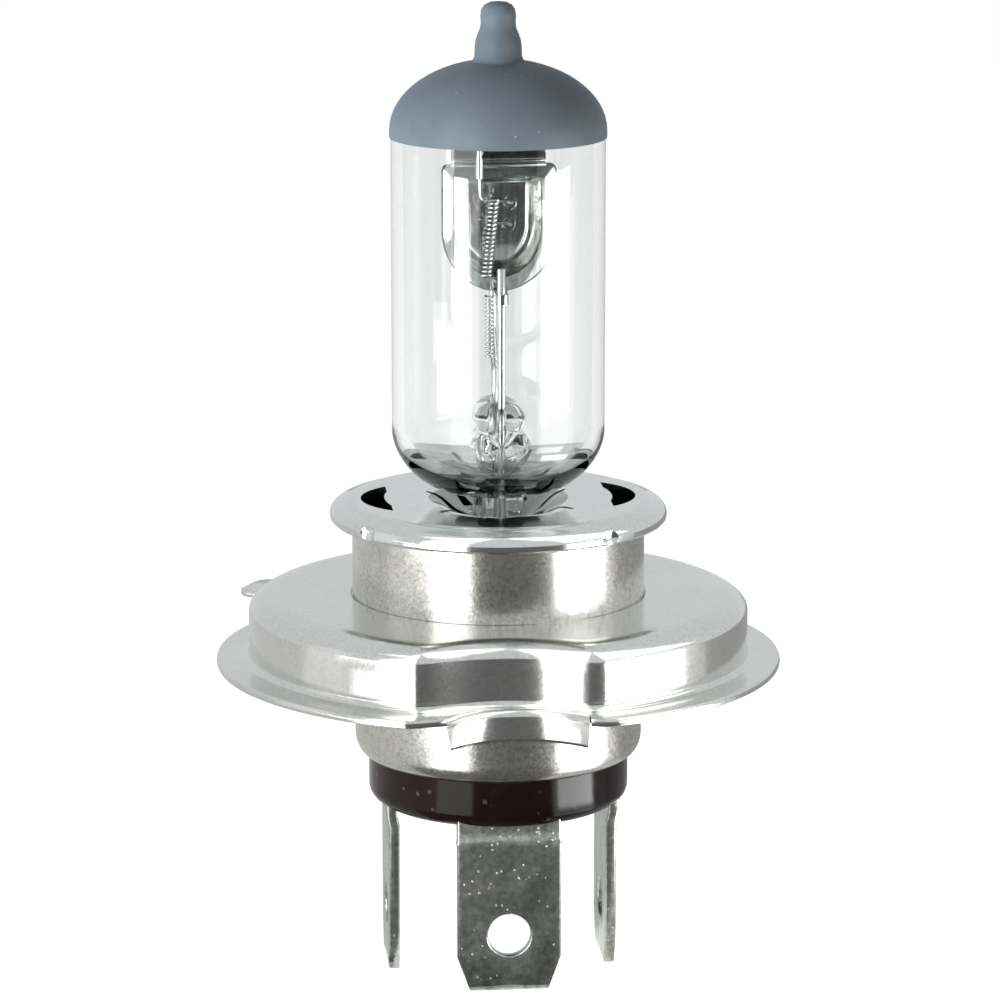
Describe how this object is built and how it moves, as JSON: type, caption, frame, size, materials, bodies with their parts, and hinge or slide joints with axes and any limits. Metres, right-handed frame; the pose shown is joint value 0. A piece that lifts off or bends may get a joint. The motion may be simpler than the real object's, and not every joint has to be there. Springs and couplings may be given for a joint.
{
  "type": "headlight bulb",
  "caption": "Halogen headlight bulb with a clear glass tube, painted dome, two filaments, a shield, a flanged metal base and flat terminals.",
  "frame": {"origin": "centre of the ring flange, on the plane of its terminal-side face", "axes": "+Z along the bulb's axis towards the glass tip, -Y towards the wide front notch of the ring and the crosswise terminal, +X to the right seen from that side"},
  "size_m": [0.043, 0.0423, 0.0739],
  "materials": {
    "clear_glass": "clear, polished",
    "dome_paint": "matte blue-grey coating on glass",
    "filament_wire": "grey tungsten",
    "shield_metal": "satin molybdenum sheet",
    "lead_metal": "drawn wire",
    "foil_metal": "thin foil",
    "base_steel": "nickel-plated sheet steel, mottled satin",
    "carrier_plastic": "moulded, glossy, very dark brown",
    "blade_metal": "tin-plated, dull, mottled"
  },
  "bodies": {
    "root": {"glass_envelope": "clear_glass", "glass_bead": "clear_glass", "dome_coating": "dome_paint", "low_beam_filament": "filament_wire", "high_beam_filament": "filament_wire", "low_beam_shield": "shield_metal", "shield_rod": "lead_metal", "low_beam_lead": "lead_metal", "low_beam_crimp": "lead_metal", "high_beam_lead": "lead_metal", "high_beam_crimp": "lead_metal", "foil_front": "foil_metal", "foil_middle": "foil_metal", "foil_back": "foil_metal", "front_wire": "lead_metal", "left_wire": "lead_metal", "right_wire": "lead_metal", "holder_cap": "base_steel", "holder_sleeve": "base_steel", "mounting_ring": "base_steel", "base_shell": "base_steel", "terminal_carrier": "carrier_plastic", "front_blade": "blade_metal", "left_blade": "blade_metal", "right_blade": "blade_metal"}
  },
  "joints": []
}
